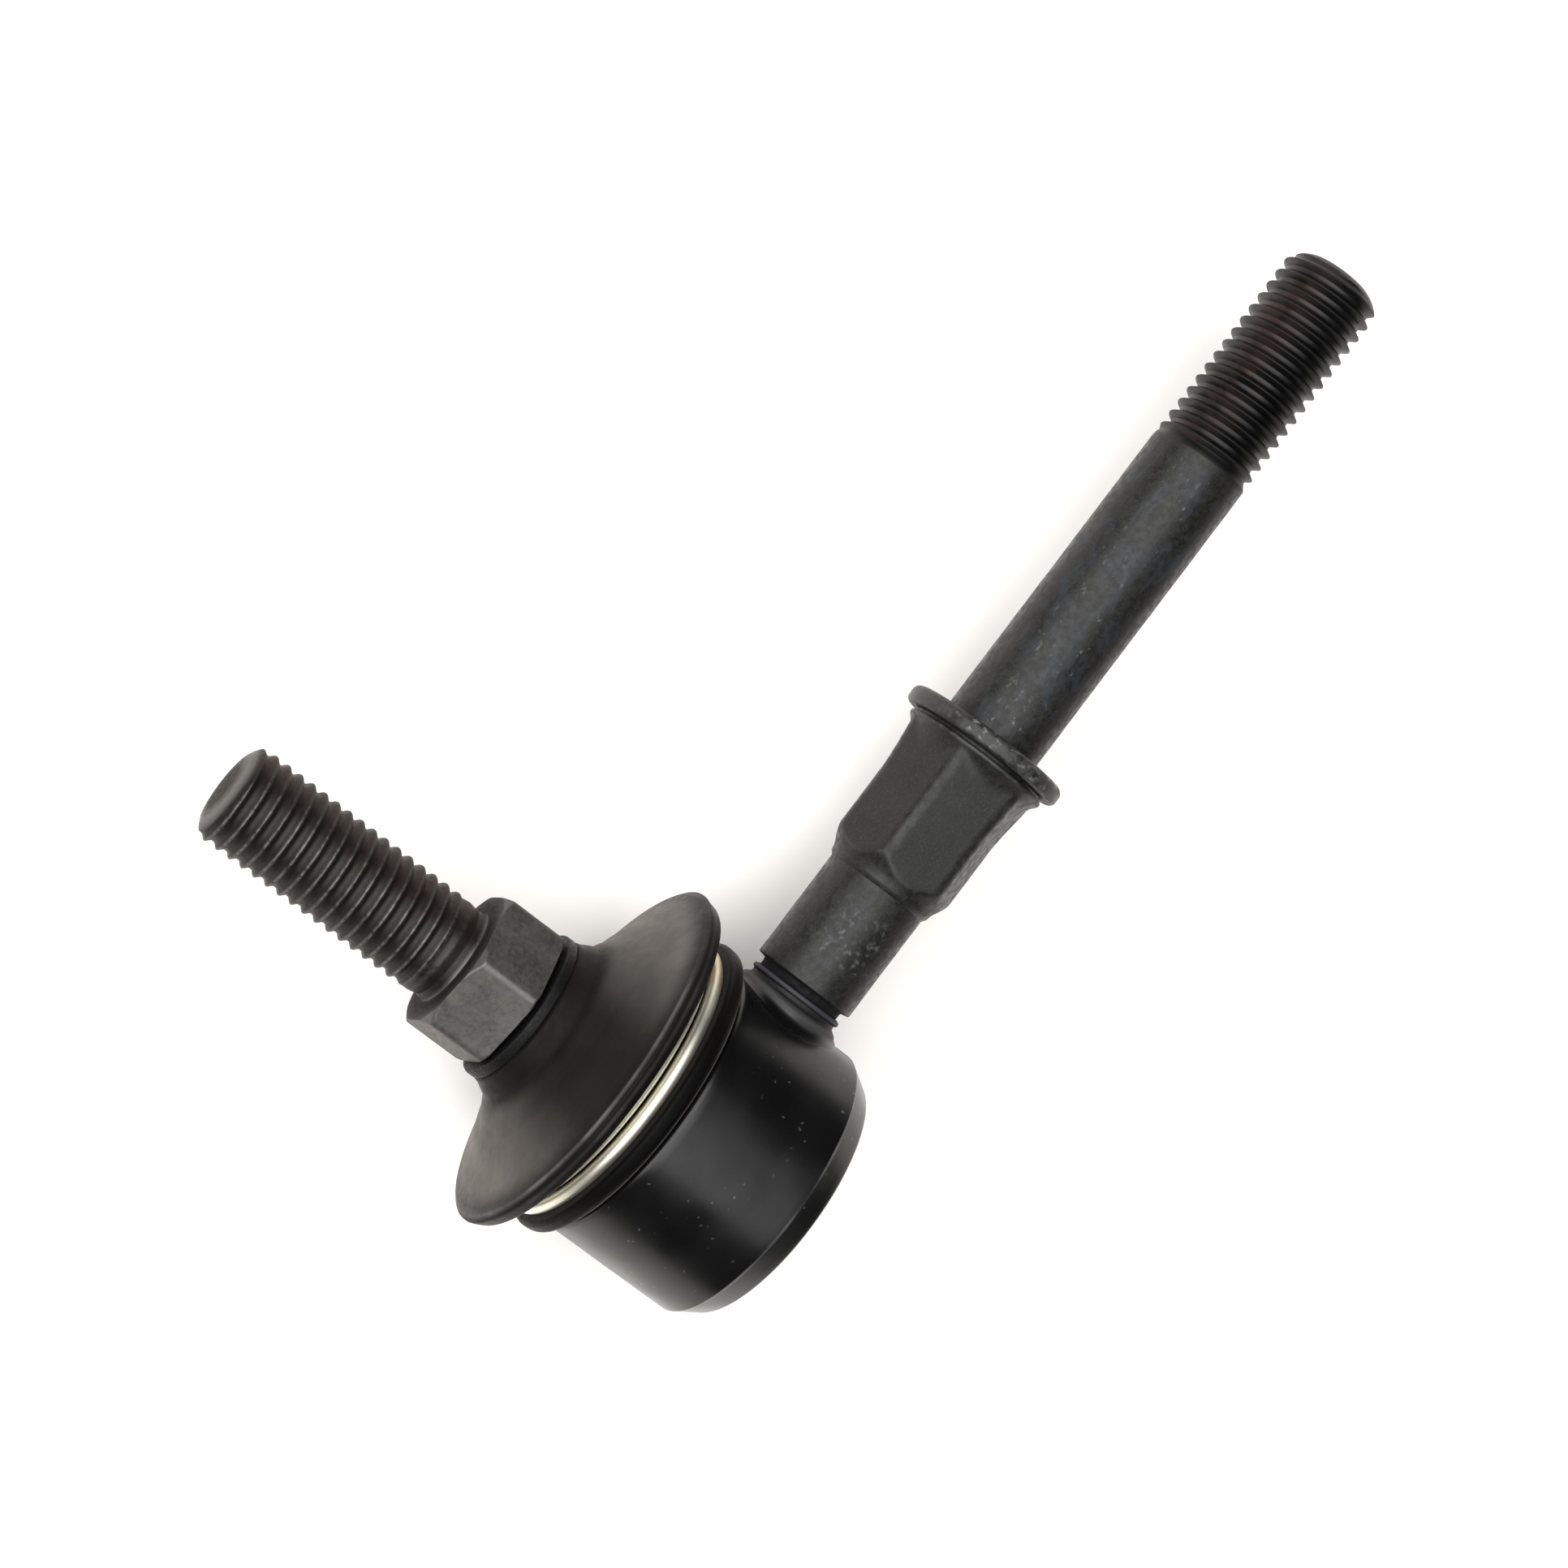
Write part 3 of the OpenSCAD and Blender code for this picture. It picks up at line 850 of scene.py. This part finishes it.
class LINK_OT_forged_rod(bpy.types.Operator):
    """Models the rod: neck, forged hexagon, flange, plain shank and thread"""

    bl_idname = "link.forged_rod"
    bl_label = "Forged rod"

    def execute(self, context):
        size, thread = context.scene.link_rod, context.scene.link_thread
        neck, shank = size.neck_radius / MM, size.shank_radius / MM
        flange, thick = size.flange_radius / MM, size.flange_thickness / MM
        lead, end = size.lead_start / MM, size.shank_end / MM
        foot, weld, flare_end = size.foot / MM, size.weld / MM, size.flare_end / MM
        lower = soften(
            [
                (foot, 0, 0),
                (foot, 5.1, 0.1),
                (weld - 0.2, 5.15, 0.2),
                (weld, neck, 0.15),
                (lead, neck, 0),
            ],
            0.5,
        )
        forged = soften([(lead + 0.15, neck, 0), (flare_end, neck, 0)], 0.2)
        upper = soften(
            [
                (flare_end + 0.1, 8.8, 0.15),
                (-thick - 0.5, 8.8, 0.15),
                (-thick - 0.45, 8.1, 0.1),
                (-thick - 0.02, 8.1, 0.1),
                (-thick, flange - 0.05, 0.6),
                (0, flange, 0.8),
                (0, shank, 0.35),
                (end, shank, 0),
            ],
            0.6,
        )
        rod = turn("forged_rod", "X", lower + forged + upper)

        def forge(place):
            spoke = Vector((0, place.y, place.z))
            if spoke.length < MM:
                return place
            radius = spoke.length
            if size.lead_start <= place.x <= size.flare_end + 0.05 * MM:
                angle = math.atan2(place.z, place.y) - math.pi / 2
                radius = forged_radius(size, place.x, angle)
            if place.x < size.shank_end - MM:
                radius += unevenness(place, 2.6 * MM, 0.02 * MM)
            return Vector((place.x, 0, 0)) + spoke.normalized() * radius

        reshape(rod, forge)
        add_thread(
            rod,
            "X",
            thread,
            crest=thread.rod_crest,
            depth=thread.rod_depth,
            neck=size.shank_radius,
            start=size.shank_end,
            end=ROD_END,
            face=4.1 * MM,
            reach=1.9 * MM,
            dome=0.25 * MM,
            plain=0.8 * MM,
        )
        dress(rod, phosphate_skin(context.scene.link_finish, size), "phosphated_steel", "link_rod")
        paint_edges(rod, lambda place: forged_wear_and_ridge_light(size, place))
        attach(rod, "link")
        return {"FINISHED"}


# Socket


class LINK_OT_socket_body(bpy.types.Operator):
    """Models the socket's enamelled body with its rolled rim, its collar and the boss at the weld"""

    bl_idname = "link.socket_body"
    bl_label = "Socket body"

    def execute(self, context):
        size = context.scene.link_socket
        wall, low, edge = HOUSING_RADIUS / MM, HOUSING_LOW.y / MM, -size.rim_edge / MM
        shoulder, collar = size.shoulder / MM, COLLAR_TOP / MM
        cover_low, cover_high = COVER_LOW.y / MM, COVER_HIGH.y / MM
        cover_radius = (COVER_HIGH.x - BALL_X) / MM
        opening, bore, bore_top = 11.8, 13.2, 5.4
        outline = [
            (low, opening, 0),
            (low, 15.25, 0.7),
            (edge - 0.15, wall - 0.1, 0.25),
            (edge, wall, 0.1),
            (shoulder, wall, 0.9),
            (shoulder, wall - 2.6, 0.2),
            (collar, wall - 2.6, 0.4),
            (collar, 11.2, 0.3),
            (bore_top, 9, 0.2),
            (bore_top, bore, 0),
            (cover_high, bore, 0),
            (cover_high, cover_radius + 0.05, 0),
            (cover_low, cover_radius + 0.05, 0),
            (cover_low, opening, 0),
            (low, opening, 0),
        ]
        body = turn("socket_body", "Y", soften(outline, 0.8))
        boss = turn("socket_boss", "X", self.boss_outline(size))
        paint_edges(boss, self.boss_ridge_highlight)
        reshape(boss, self.saddle)
        body = join(body, boss)

        def paint_ripple(place):
            spoke = Vector((place.x, 0, place.z))
            return place + spoke.normalized() * unevenness(place, 4 * MM, 0.015 * MM)

        reshape(body, paint_ripple)
        slide(body, (BALL_X, 0, 0))
        dress(body, enamel_skin(context.scene.link_finish, size), "black_enamel", "socket_housing")
        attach(body, "link")
        return {"FINISHED"}

    def boss_outline(self, size):
        """Outline of the boss from inside the wall to the weld, measured from the ball's centre."""
        wall, weld = HOUSING_RADIUS / MM, size.boss_radius / MM
        return soften(
            [
                (wall - 2.6, 0, 0),
                (wall - 2.6, weld + 1.5, 0),
                (wall - 0.15, weld + 1.5, 0.1),
                (wall + 0.45, weld + 0.65, 0.5),
                (wall + 0.8, weld + 0.4, 0.25),
                (wall + 1.15, weld - 0.2, 0.2),
                (wall + 1.55, weld - 0.28, 0.15),
                (wall + 1.75, weld + 0.05, 0.2),
                (wall + 2.15, weld + 0.02, 0.2),
                (wall + 2.35, weld - 0.5, 0.1),
                (wall + 2.35, 0, 0),
            ],
            0.2,
        )

    def boss_ridge_highlight(self, place):
        """A painted highlight along the ridge beside the weld, and none on the rest of the boss."""
        from_ridge = abs(place.x - HOUSING_RADIUS - 0.7 * MM)
        return ease(1.5 - from_ridge / (0.25 * MM))

    def saddle(self, place):
        """Bends the boss's foot round the wall that it grows out of."""
        reach = place.x - HOUSING_RADIUS
        drop = HOUSING_RADIUS - math.sqrt(max(HOUSING_RADIUS**2 - place.z**2, 0))
        return place - Vector((drop * (1 - ease(reach / (1.4 * MM))), 0, 0))


class LINK_OT_closing_disc(bpy.types.Operator):
    """Models the pressed disc that closes the socket's bottom"""

    bl_idname = "link.closing_disc"
    bl_label = "Closing disc"

    def execute(self, context):
        low, high = COVER_LOW.y / MM, COVER_HIGH.y / MM
        radius = (COVER_HIGH.x - BALL_X) / MM
        outline = [
            (high, 0, 0),
            (high, radius, 0.15),
            (low, radius, 0.15),
            (low, 9.4, 0.4),
            (low + 0.4, 8.6, 0.4),
            (low + 0.4, 3.4, 0.3),
            (low + 0.15, 2.6, 0.3),
            (low + 0.15, 0, 0),
        ]
        disc = turn("closing_disc", "Y", soften(outline, 0.8))
        slide(disc, (BALL_X, 0, 0))
        skin = plain_metal_skin("pressed_steel", (0.16, 0.16, 0.165), 0.42, 0.5 * MM)
        dress(disc, skin, "pressed_steel", "end_cover")
        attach(disc, "link")
        return {"FINISHED"}


class LINK_OT_ball_and_seat(bpy.types.Operator):
    """Gives the hidden ball and its seat their steel and polymer"""

    bl_idname = "link.ball_and_seat"
    bl_label = "Ball and seat"

    def execute(self, context):
        skins = {
            "ball": plain_metal_skin("bright_steel", (0.62, 0.62, 0.63), 0.16, 0.3 * MM),
            "ball_seat": polymer_skin(),
        }
        for name, skin in skins.items():
            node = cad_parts[name]
            node.data.materials.clear()
            node.data.materials.append(skin)
        return {"FINISHED"}


# Stud


class LINK_OT_ball_stud(bpy.types.Operator):
    """Models the stud: waist, journal, chamfered hexagon, undercut and thread"""

    bl_idname = "link.ball_stud"
    bl_label = "Ball stud"

    def execute(self, context):
        size, thread = context.scene.link_stud, context.scene.link_thread
        low, top, start = size.hex_low / MM, size.hex_top / MM, size.thread_start / MM
        waist, journal, blank, neck = 5.2, 5.95, 9.4, size.neck_radius / MM
        lower = [
            (8, 0, 0),
            (8, waist, 0),
            (19.7, waist, 0.4),
            (20.5, journal, 0.3),
            (low, journal, 0),
            (low, 8.3, 0),
        ]
        nut = [
            (low + 0.02, 8.8, 0),
            (low + 0.4, blank, 0.1),
            (top - 0.85, blank, 0.1),
            (top - 0.02, 8.32, 0),
        ]
        upper = [
            (top, 8.15, 0.1),
            (top + 0.04, 5.75, 0.3),
            (top + 1.2, neck - 0.2, 0.5),
            (start, neck, 0),
        ]
        stud = turn("ball_stud", "Y", soften(lower, 0.5) + soften(nut, 0.12) + soften(upper, 0.25))
        flat = size.hex_corner + SIXTH / 2

        def forge(place):
            spoke = Vector((place.x, 0, place.z))
            if not size.hex_low - MERGE <= place.y <= size.hex_top + MERGE or spoke.length < 7 * MM:
                return place
            angle = math.atan2(place.x, place.z) - flat
            radius = smooth_min(spoke.length, hexagon(angle, size.hex_across, 0.4 * MM), 0.2 * MM)
            radius += unevenness(place, 2.2 * MM, 0.015 * MM)
            return Vector((0, place.y, 0)) + spoke.normalized() * radius

        reshape(stud, forge)
        add_thread(
            stud,
            "Y",
            thread,
            crest=thread.stud_crest,
            depth=thread.stud_depth,
            neck=size.neck_radius,
            start=size.thread_start,
            end=STUD_END,
            face=4.3 * MM,
            reach=1.4 * MM,
            dome=0.4 * MM,
            plain=0.9 * MM,
        )

        def wear_and_lit_lines(place):
            angle = math.atan2(place.x, place.z) - flat
            from_corner = abs(angle % SIXTH - SIXTH / 2)
            on_hexagon = size.hex_low + 0.3 * MM < place.y < size.hex_top
            near_end = ease((place.y - STUD_END + 1.2 * MM) / (0.4 * MM))
            tip = near_end * ease((math.hypot(place.x, place.z) - 3.9 * MM) / (0.4 * MM))
            corner = ease(1 - from_corner / math.radians(3)) if on_hexagon else 0
            return max(0.15 * corner, tip)

        paint_edges(stud, wear_and_lit_lines)
        slide(stud, (BALL_X, 0, 0))
        skin = stud_skin(context.scene.link_finish, size, thread)
        dress(stud, skin, "bare_steel", "threaded_stud")
        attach(stud, "stud")
        return {"FINISHED"}


# Boot and rings


class LINK_OT_rubber_boot(bpy.types.Operator):
    """Models the rubber boot: bead, groove for the ring, overhanging rim, dished top and neck"""

    bl_idname = "link.rubber_boot"
    bl_label = "Rubber boot"

    def execute(self, context):
        rim, top = BOOT_RADIUS / MM, BOOT_TOP / MM
        foot, bore, groove, neck_bore = 7.55, 14.6, 16.15, 6.15
        outline = [
            (foot, bore, 0.2),
            (7.6, 17.4, 0.4),
            (8.2, 18.6, 0.9),
            (9.95, 18.75, 0.6),
            (9.95, groove, 0.2),
            (13.75, groove, 0.4),
            (13.6, rim - 0.55, 0.4),
            (15.2, rim - 0.02, 0.3),
            (15.6, rim - 0.6, 0.12),
        ]
        dish = self.dish((15.75, rim - 0.9), (21.4, 9.9))
        neck = [
            (top - 0.7, 9.25, 0.6),
            (top, 9.05, 0.3),
            (top, neck_bore, 0.1),
            (top - 2.6, neck_bore, 0.3),
        ]
        inside = self.dish((14.6, 16), (19.6, 7.6))
        closing = [(13.8, bore, 0.3), (foot, bore, 0)]
        corners = outline + [(a, r, 0) for a, r in dish] + neck
        corners += [(a, r, 0) for a, r in reversed(inside)] + closing
        boot = turn("rubber_boot", "Y", soften(corners, 0.4))
        lean = Vector((-0.2 * MM, 0, 0))

        def sag(place):
            spoke = Vector((place.x, 0, place.z))
            loose = ease((place.y - 12.8 * MM) / (2 * MM)) * ease((21 * MM - place.y) / (3 * MM))
            hills = unevenness(place, 7 * MM, 0.12 * MM) + unevenness(place, 2 * MM, 0.02 * MM)
            return place + (spoke.normalized() * hills + lean) * loose

        # Painted highlight lines: a strong one on the rim's shoulder crease, a fainter one along the rim's
        # underside edge
        def wear_and_lit_lines(place):
            spread = math.hypot(place.x, place.z) - rim * MM
            crease = math.hypot(spread + 0.5 * MM, place.y - 15.6 * MM)
            underside_highlight_line = math.hypot(spread + 0.2 * MM, place.y - 14.6 * MM)
            return max(ease(1.4 - crease / (0.25 * MM)), 0.35 * ease(1.4 - underside_highlight_line / (0.25 * MM)))

        reshape(boot, sag)
        paint_edges(boot, wear_and_lit_lines)
        slide(boot, (BALL_X, 0, 0))
        dress(boot, rubber_skin(context.scene.link_finish), "boot_rubber", "dust_boot")
        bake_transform(boot)
        return {"FINISHED"}

    def dish(self, start, end):
        """A trumpet-shaped run of points from a wide start to a narrow end, with faint ripples."""
        steps, ripples, height, trumpet = 28, 3, 0.08, 1.45
        points = []
        for i in range(steps + 1):
            share = i / steps
            ripple = height * math.sin(share * math.tau * ripples) * math.sin(math.pi * share)
            along = start[0] + (end[0] - start[0]) * share + ripple
            points.append((along, end[1] + (start[1] - end[1]) * (1 - share) ** trumpet))
        return points


class LINK_OT_clamp_wire(bpy.types.Operator):
    """Models the plated wire ring that clamps the boot: two flat turns with a step between them"""

    bl_idname = "link.clamp_wire"
    bl_label = "Clamp wire"

    def execute(self, context):
        size = context.scene.link_socket
        stations = round(96 * size.wire_turns)
        path = [self.station(size, size.wire_turns * i / stations) for i in range(stations + 1)]
        bpy.ops.object.select_all(action="DESELECT")
        bpy.ops.curve.primitive_nurbs_path_add()
        wire = context.object
        wire.name = "clamp_wire"
        wire.data.splines.clear()
        spline = wire.data.splines.new("POLY")
        spline.points.add(len(path) - 1)
        for point, place in zip(spline.points, path):
            point.co = (*place, 1)
        wire.data.bevel_depth = size.wire_radius
        wire.data.bevel_resolution = 8
        wire.data.use_fill_caps = True
        bpy.ops.object.convert(target="MESH")
        wire = context.object
        bpy.ops.object.mode_set(mode="EDIT")
        close_seams()
        bpy.ops.object.mode_set(mode="OBJECT")
        dress(wire, zinc_skin(context.scene.link_finish), "yellow_zinc", "boot_clamp_ring")
        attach(wire, "link")
        return {"FINISHED"}

    def station(self, size, turns):
        """Place of the wire's centre after a number of turns."""
        tuck = 0.15 * MM
        radius = (WIRE_HIGH.x - WIRE_LOW.x) / 2 - size.wire_radius - tuck
        rise = (WIRE_HIGH.y - WIRE_LOW.y) - 2 * size.wire_radius
        angle = math.radians(60) + math.tau * turns
        step = ease((turns - 0.75) / 0.21)
        height = WIRE_LOW.y + size.wire_radius + rise * step
        return Vector((BALL_X + radius * math.cos(angle), height, -radius * math.sin(angle)))


class LINK_OT_neck_ring(bpy.types.Operator):
    """Models the ring between the boot's neck and the stud's hexagon"""

    bl_idname = "link.neck_ring"
    bl_label = "Neck ring"

    def execute(self, context):
        low, high = NECK_RING_LOW.y / MM, NECK_RING_HIGH.y / MM
        outer, bore = (NECK_RING_HIGH.x - BALL_X) / MM, 6.05
        outline = [
            (low, bore, 0),
            (low, outer, 0.3),
            (high, outer, 0.3),
            (high, bore, 0.1),
            (low, bore, 0),
        ]
        ring = turn("neck_ring", "Y", soften(outline, 0.5))
        slide(ring, (BALL_X, 0, 0))
        skin = plain_metal_skin("ring_steel", (0.012, 0.012, 0.012), 0.55, 0.3 * MM)
        dress(ring, skin, "pressed_steel", "boot_neck_ring")
        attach(ring, "boot_neck")
        return {"FINISHED"}


# Stage


class LINK_OT_studio(bpy.types.Operator):
    """Sets up the pale floor, the soft light and the camera"""

    bl_idname = "link.studio"
    bl_label = "Studio"

    def execute(self, context):
        look = context.scene.link_studio
        self.floor(context)
        self.softbox(look.key_power)
        world = bpy.data.worlds.new("room")
        world.use_nodes = True
        sky = world.node_tree.nodes["Background"].inputs
        sky["Color"].default_value = (1, 1, 1, 1)
        sky["Strength"].default_value = look.surround
        context.scene.world = world
        bpy.ops.object.camera_add(
            location=CAMERA_PLACE,
            rotation=[math.radians(angle) for angle in CAMERA_TURN],
        )
        camera = context.object
        camera.data.lens = look.lens
        camera.data.sensor_width = 36
        camera.data.clip_start = 0.01
        context.scene.camera = camera
        context.scene.view_settings.view_transform = "Standard"
        return {"FINISHED"}

    def floor(self, context):
        """A wide pale floor under the object's lowest point."""
        bpy.ops.object.select_all(action="DESELECT")
        bpy.ops.mesh.primitive_plane_add(size=8)
        floor = context.object
        floor.name = "floor"
        slide(floor, (0, 0, CAD_BOX[0].z))
        skin = Skin("pale_floor")
        pale = tuple(context.scene.link_finish.floor)
        clouds = skin.scale(skin.grain(120 * MM, 2), 0.3, 0.7)
        skin.paint("Base Color", skin.mix(clouds, tint(pale, 0.99), pale))
        skin.set(Roughness=0.9, Specular_IOR_Level=0.1)
        floor.data.materials.append(skin.material)

    def softbox(self, power):
        """A wide soft light above, which points at the link."""
        bpy.ops.object.light_add(type="AREA", location=LIGHT_PLACE)
        lamp = bpy.context.object
        lamp.name = "softbox"
        lamp.rotation_euler = (LIGHT_AIM - LIGHT_PLACE).to_track_quat("-Z", "Y").to_euler()
        lamp.data.shape = "RECTANGLE"
        lamp.data.size, lamp.data.size_y = LIGHT_SIZE
        lamp.data.energy = power
        lamp.visible_camera = False


OPERATORS = (
    LINK_OT_forged_rod,
    LINK_OT_socket_body,
    LINK_OT_closing_disc,
    LINK_OT_ball_and_seat,
    LINK_OT_ball_stud,
    LINK_OT_rubber_boot,
    LINK_OT_clamp_wire,
    LINK_OT_neck_ring,
    LINK_OT_studio,
)

GROUPS = {
    "link_rod": RodSizes,
    "link_stud": StudSizes,
    "link_thread": ThreadSizes,
    "link_socket": SocketSizes,
    "link_finish": Finishes,
    "link_studio": StudioLook,
}


class LINK_PT_pieces(bpy.types.Panel):
    """Lists the pieces of the link and their sizes"""

    bl_label = "Stabilizer link"
    bl_idname = "LINK_PT_pieces"
    bl_space_type = "VIEW_3D"
    bl_region_type = "UI"
    bl_category = "Link"

    def draw(self, context):
        for operator in OPERATORS:
            self.layout.operator(operator.bl_idname)
        for group in GROUPS:
            values = getattr(context.scene, group)
            box = self.layout.box()
            for name in values.__annotations__:
                box.prop(values, name)


def register():
    """Registers the sizes, the operators and the panel."""
    for name, group in GROUPS.items():
        bpy.utils.register_class(group)
        setattr(bpy.types.Scene, name, PointerProperty(type=group))
    for operator in OPERATORS:
        bpy.utils.register_class(operator)
    bpy.utils.register_class(LINK_PT_pieces)


def unregister():
    """Takes the panel, the operators and the sizes away again."""
    bpy.utils.unregister_class(LINK_PT_pieces)
    for operator in OPERATORS:
        bpy.utils.unregister_class(operator)
    for name, group in GROUPS.items():
        delattr(bpy.types.Scene, name)
        bpy.utils.unregister_class(group)


def main():
    """Makes every piece in order."""
    register()
    bpy.ops.link.forged_rod()
    bpy.ops.link.socket_body()
    bpy.ops.link.closing_disc()
    bpy.ops.link.ball_and_seat()
    bpy.ops.link.ball_stud()
    bpy.ops.link.rubber_boot()
    bpy.ops.link.clamp_wire()
    bpy.ops.link.neck_ring()
    bpy.ops.link.studio()


if __name__ == "__main__":
    main()
